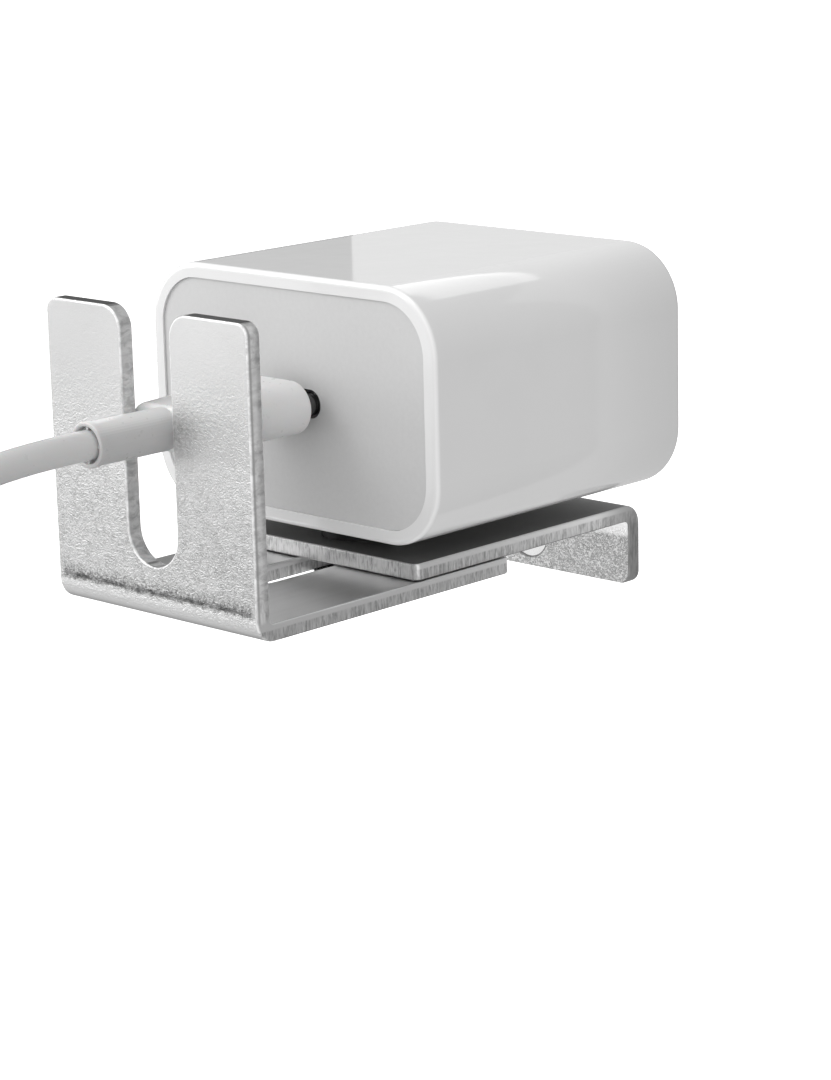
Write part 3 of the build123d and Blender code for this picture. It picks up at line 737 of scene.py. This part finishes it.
def shelf_steel():
    """The rear bracket, whose upper face is painted dark as the shade under the charger, and whose flange
    holds the wall screw.
    """
    low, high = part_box("wall_screw")
    head_radius = (high[0] - low[0]) / 2
    screw_height = (high[2] + low[2]) / 2
    ends = [("y", -1, -SHELF_FRONT), ("z", -1, -FLANGE_LOWEST)]
    look, cut, upright, level_up = sheet_steel("shelf_steel", ends)
    grains = look.rise(look.noise(0.26 * MM, 2, (1.2, 1, 1), 1.4), 0.38, 0.6)
    dents = hammered(look, 0.3 * MM)
    streaks = cut_marks(look)
    face = look.blend(look.noise(4 * MM, 3), 0.72, 0.8)
    face = look.blend(grains, 0.36, face)
    # Painted highlight: the smooth metal inside the bend to the flange is made white
    face = look.blend(look.rise(look.z, -20.7 * MM, -20.0 * MM), face, 1.0)
    # The countersink's shadowed edge round the wall screw
    ring = look.fall(look.distance(0.0, screw_height), head_radius, head_radius + 0.3 * MM)
    ring = look.times(ring, look.fall(look.facing_y, -0.8, -0.5))
    face = look.blend(ring, face, 0.06)
    # Painted shade: the upper face under the charger is near black, a little lighter by the wall
    upper_face_painted_shade = look.blend(look.noise(3 * MM, 4, (1, 3, 1)), 0.22, 0.26)
    upper_face_painted_shade = look.blend(look.rise(look.y, -4 * MM, 0.0), upper_face_painted_shade, 0.34)
    color = look.blend(level_up, face, upper_face_painted_shade)
    color = look.blend(cut, color, shelf_edge(look, streaks))
    rough = look.mix(level_up, 0.42, 0.55)
    rough = look.mix(cut, rough, 0.5)
    rough_face = look.times(upright, look.fall(look.z, -20 * MM, -19 * MM))
    relief = look.times(rough_face, look.plus(look.times(dents, 0.6), look.times(grains, 0.5)))
    relief = look.mix(cut, relief, look.times(streaks, 0.4))
    return look.finish(color, rough, relief, 0.1 * MM)


def metal(name, low, high, roughness, grain, stretch=(1, 1, 1), depth=0.01):
    """A plain metal with drawn or rolled marks."""
    look = Look(name, metallic=1.0)
    marks = look.noise(grain * MM, 4, stretch)
    color = look.blend(marks, low, high)
    rough = look.mix(look.noise(grain * 3 * MM, 3), roughness * 0.8, roughness * 1.25)
    return look.finish(color, rough, marks, depth * MM)


def moulded(name, low, high, roughness, grain=0.15, depth=0.008, **sockets):
    """A plain plastic, ceramic or lacquer with a fine grain."""
    look = Look(name, **sockets)
    color = look.blend(look.noise(grain * 8 * MM, 3), low, high)
    rough = look.mix(look.noise(grain * 4 * MM, 3), roughness * 0.85, roughness * 1.2)
    return look.finish(color, rough, look.noise(grain * MM, 3), depth * MM)


def board_green():
    """Solder mask over copper tracks."""
    look = Look("board_green", Coat_Weight=0.3, Coat_Roughness=0.15)
    tracks = look.rise(look.cell_edges(2.2 * MM, (1, 1, 40)), 0.08, 0.12)
    color = look.blend(tracks, (0.05, 0.2, 0.08), (0.02, 0.11, 0.05))
    return look.finish(color, 0.3, tracks, 0.03 * MM)


def waves(look, along, pitch):
    """Even waves along a coordinate, from -1 to 1."""
    return look.math("SINE", look.times(along, 2 * math.pi / pitch))


def wound_copper():
    """Enamelled wire in close turns round an upright axis."""
    look = Look("copper", metallic=1.0, roughness=0.3)
    turn = waves(look, look.z, 0.4 * MM)
    color = look.blend(look.rise(turn, -1, 0.2), (0.3, 0.09, 0.03), (0.75, 0.32, 0.14))
    return look.finish(color, None, turn, 0.06 * MM)


def strap_white():
    """Woven hook-and-loop strap."""
    look = Look("strap_white", Sheen_Weight=0.3)
    weave = look.times(waves(look, look.z, 0.5 * MM), waves(look, look.plus(look.x, look.y), 0.5 * MM))
    color = look.blend(look.rise(weave, -0.6, 0.8), 0.6, 0.8)
    return look.finish(color, 0.85, look.plus(weave, look.noise(0.15 * MM, 3)), 0.06 * MM)


SLOT_MATERIALS = {
    "white_gloss": white_gloss(),
    "grey_matte": grey_matte(),
    "cable_white": soft_white("cable_white", 0.7, 0.75),
    "steel": metal("steel", 0.1, 0.16, 0.24, 0.2, (1, 20, 1)),
    "black_plastic": moulded("black_plastic", 0.012, 0.02, 0.45),
    "nickel_blade": metal("nickel_blade", 0.62, 0.72, 0.24, 0.12, (1, 30, 1)),
    "brass": metal("brass", (0.6, 0.4, 0.16), (0.72, 0.5, 0.24), 0.3, 0.2, (1, 1, 20)),
    "board_green": board_green(),
    "ferrite": moulded("ferrite", 0.02, 0.04, 0.6, 0.3, 0.03),
    "copper": wound_copper(),
    "yellow_tape": moulded("yellow_tape", (0.7, 0.48, 0.03), (0.8, 0.56, 0.05), 0.25, 0.4, 0.02),
    "can_black": moulded("can_black", 0.012, 0.022, 0.25, 0.5, 0.01),
    "can_silver": metal("can_silver", 0.7, 0.8, 0.25, 0.2, (20, 20, 1)),
    "glass_fuse": moulded("glass_fuse", (0.3, 0.22, 0.12), (0.38, 0.28, 0.16), 0.3, 0.3),
    "blue_epoxy": moulded("blue_epoxy", (0.03, 0.1, 0.35), (0.05, 0.15, 0.45), 0.2, 0.6, 0.05),
    "screw_steel": metal("screw_steel", 0.84, 0.92, 0.26, 0.15, (6, 1, 6)),
    "strap_white": strap_white(),
}
# The sleeves: the cord's white painted darker as shade, with a painted highlight on top
SLEEVE_PAINTED_SHADE = soft_white("sleeve_painted_shade", 0.48, 0.53, 0.72)
CORD = soft_white("cord_white", 0.61, 0.66)
NODE_MATERIALS = {
    "front_bracket": fork_steel(),
    "rear_bracket": shelf_steel(),
    "plug_strain_relief": SLEEVE_PAINTED_SHADE,
    "far_plug_strain_relief": SLEEVE_PAINTED_SHADE,
    # The clamp nut is made near black: painted shade under the charger
    "clamp_nut": metal("clamp_nut_painted_shade", 0.03, 0.05, 0.5, 0.2),
}


def dress_nodes():
    """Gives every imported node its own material, or its slot's."""
    for part in frame["record"]["subparts"]:
        thing = node(part["node"])
        material = NODE_MATERIALS.get(part["node"]) or SLOT_MATERIALS[part["material_slot"]]
        thing.data.materials.clear()
        thing.data.materials.append(material)


dress_nodes()
for piece, slot in ((wall_screw, "screw_steel"), (strap, "strap_white"), (contacts, "brass")):
    piece.data.materials.append(SLOT_MATERIALS[slot])
cord.data.materials.append(CORD)

# ---- Floor and light -----------------------------------------------------------------------

# name, place, aim, width, height, power. The cards stand in the wall's plane, for reflections only
LIGHTS = [
    ("key", (-0.7, -0.42, 0.07), (0, -0.06, 0), 0.3, 0.3, 0.82),
    ("soft", (-0.45, -0.55, 0.45), (0, -0.03, 0), 0.5, 0.5, 2.8),
    ("top", (0.0, -0.15, 0.7), (0, -0.03, 0), 0.3, 0.3, 0.65),
    ("side", (0.55, -0.55, 0.15), (0, -0.03, 0), 0.5, 0.5, 0.3),
    ("card", (0.0019, 0.001, -0.0222), (0.0019, -1, -0.0222), 0.0662, 0.114, 0.0095),
    ("card_above", (-0.0035, 0.0008, 0.041), (-0.0035, -1, 0.041), 0.043, 0.018, 0.0033),
]
# The sky's strength in front of the wall and behind it, between two directions, and as seen
WORLD_FRONT = 0.92
WORLD_BACK = 0.28
FRONT_ENDS = -0.3
BACK_STARTS = 0.5
WORLD_SEEN = 1.0
FLOOR_HALF_SIZE = 60.0
FLOOR_DROP = 1.0


def add_floor():
    """A pale floor that shines of itself, so that it stays even and white."""
    mesh = bpy.data.meshes.new("floor")
    size = FLOOR_HALF_SIZE
    low = CAD_BOX[0][2] - FLOOR_DROP
    corners = [(-size, -size, low), (size, -size, low), (size, size, low), (-size, size, low)]
    mesh.from_pydata(corners, [], [(0, 1, 2, 3)])
    floor = in_scene(bpy.data.objects.new("floor", mesh))
    look = Look("floor", roughness=0.9, Emission_Color=(1, 1, 1, 1), Emission_Strength=1.0)
    mesh.materials.append(look.finish(look.blend(look.noise(0.3, 2), 0.88, 0.92)))
    floor.visible_diffuse = False
    floor.visible_glossy = False


def add_light(name, place, aim, width, height, power):
    """A rectangular light that shines from its place at its aim."""
    data = bpy.data.lights.new(name, "AREA")
    data.shape = "RECTANGLE"
    data.size = width
    data.size_y = height
    data.energy = power
    light = in_scene(bpy.data.objects.new(name, data))
    light.location = place
    light.rotation_euler = (Vector(aim) - Vector(place)).to_track_quat("-Z", "Y").to_euler()
    light.visible_camera = False
    light.visible_diffuse = not name.startswith("card")


def add_world():
    """A sky that is bright in front of the wall and dim behind it, and plain white when seen."""
    world = bpy.data.worlds.new("world")
    world.use_nodes = True
    bpy.context.scene.world = world
    nodes, link = world.node_tree.nodes, world.node_tree.links.new
    background = nodes["Background"]
    background.inputs["Color"].default_value = (1, 1, 1, 1)
    direction = nodes.new("ShaderNodeSeparateXYZ")
    link(nodes.new("ShaderNodeTexCoord").outputs["Generated"], direction.inputs[0])
    share = nodes.new("ShaderNodeMapRange")
    share.interpolation_type = "SMOOTHSTEP"
    share.inputs["From Min"].default_value = FRONT_ENDS
    share.inputs["From Max"].default_value = BACK_STARTS
    share.inputs["To Min"].default_value = WORLD_FRONT
    share.inputs["To Max"].default_value = WORLD_BACK
    link(direction.outputs["Y"], share.inputs["Value"])
    strength = nodes.new("ShaderNodeMix")
    link(nodes.new("ShaderNodeLightPath").outputs["Is Camera Ray"], strength.inputs[0])
    link(share.outputs[0], strength.inputs[2])
    strength.inputs[3].default_value = WORLD_SEEN
    link(strength.outputs[0], background.inputs["Strength"])


add_floor()
for light in LIGHTS:
    add_light(*light)
add_world()
bpy.context.scene.view_settings.view_transform = "Standard"
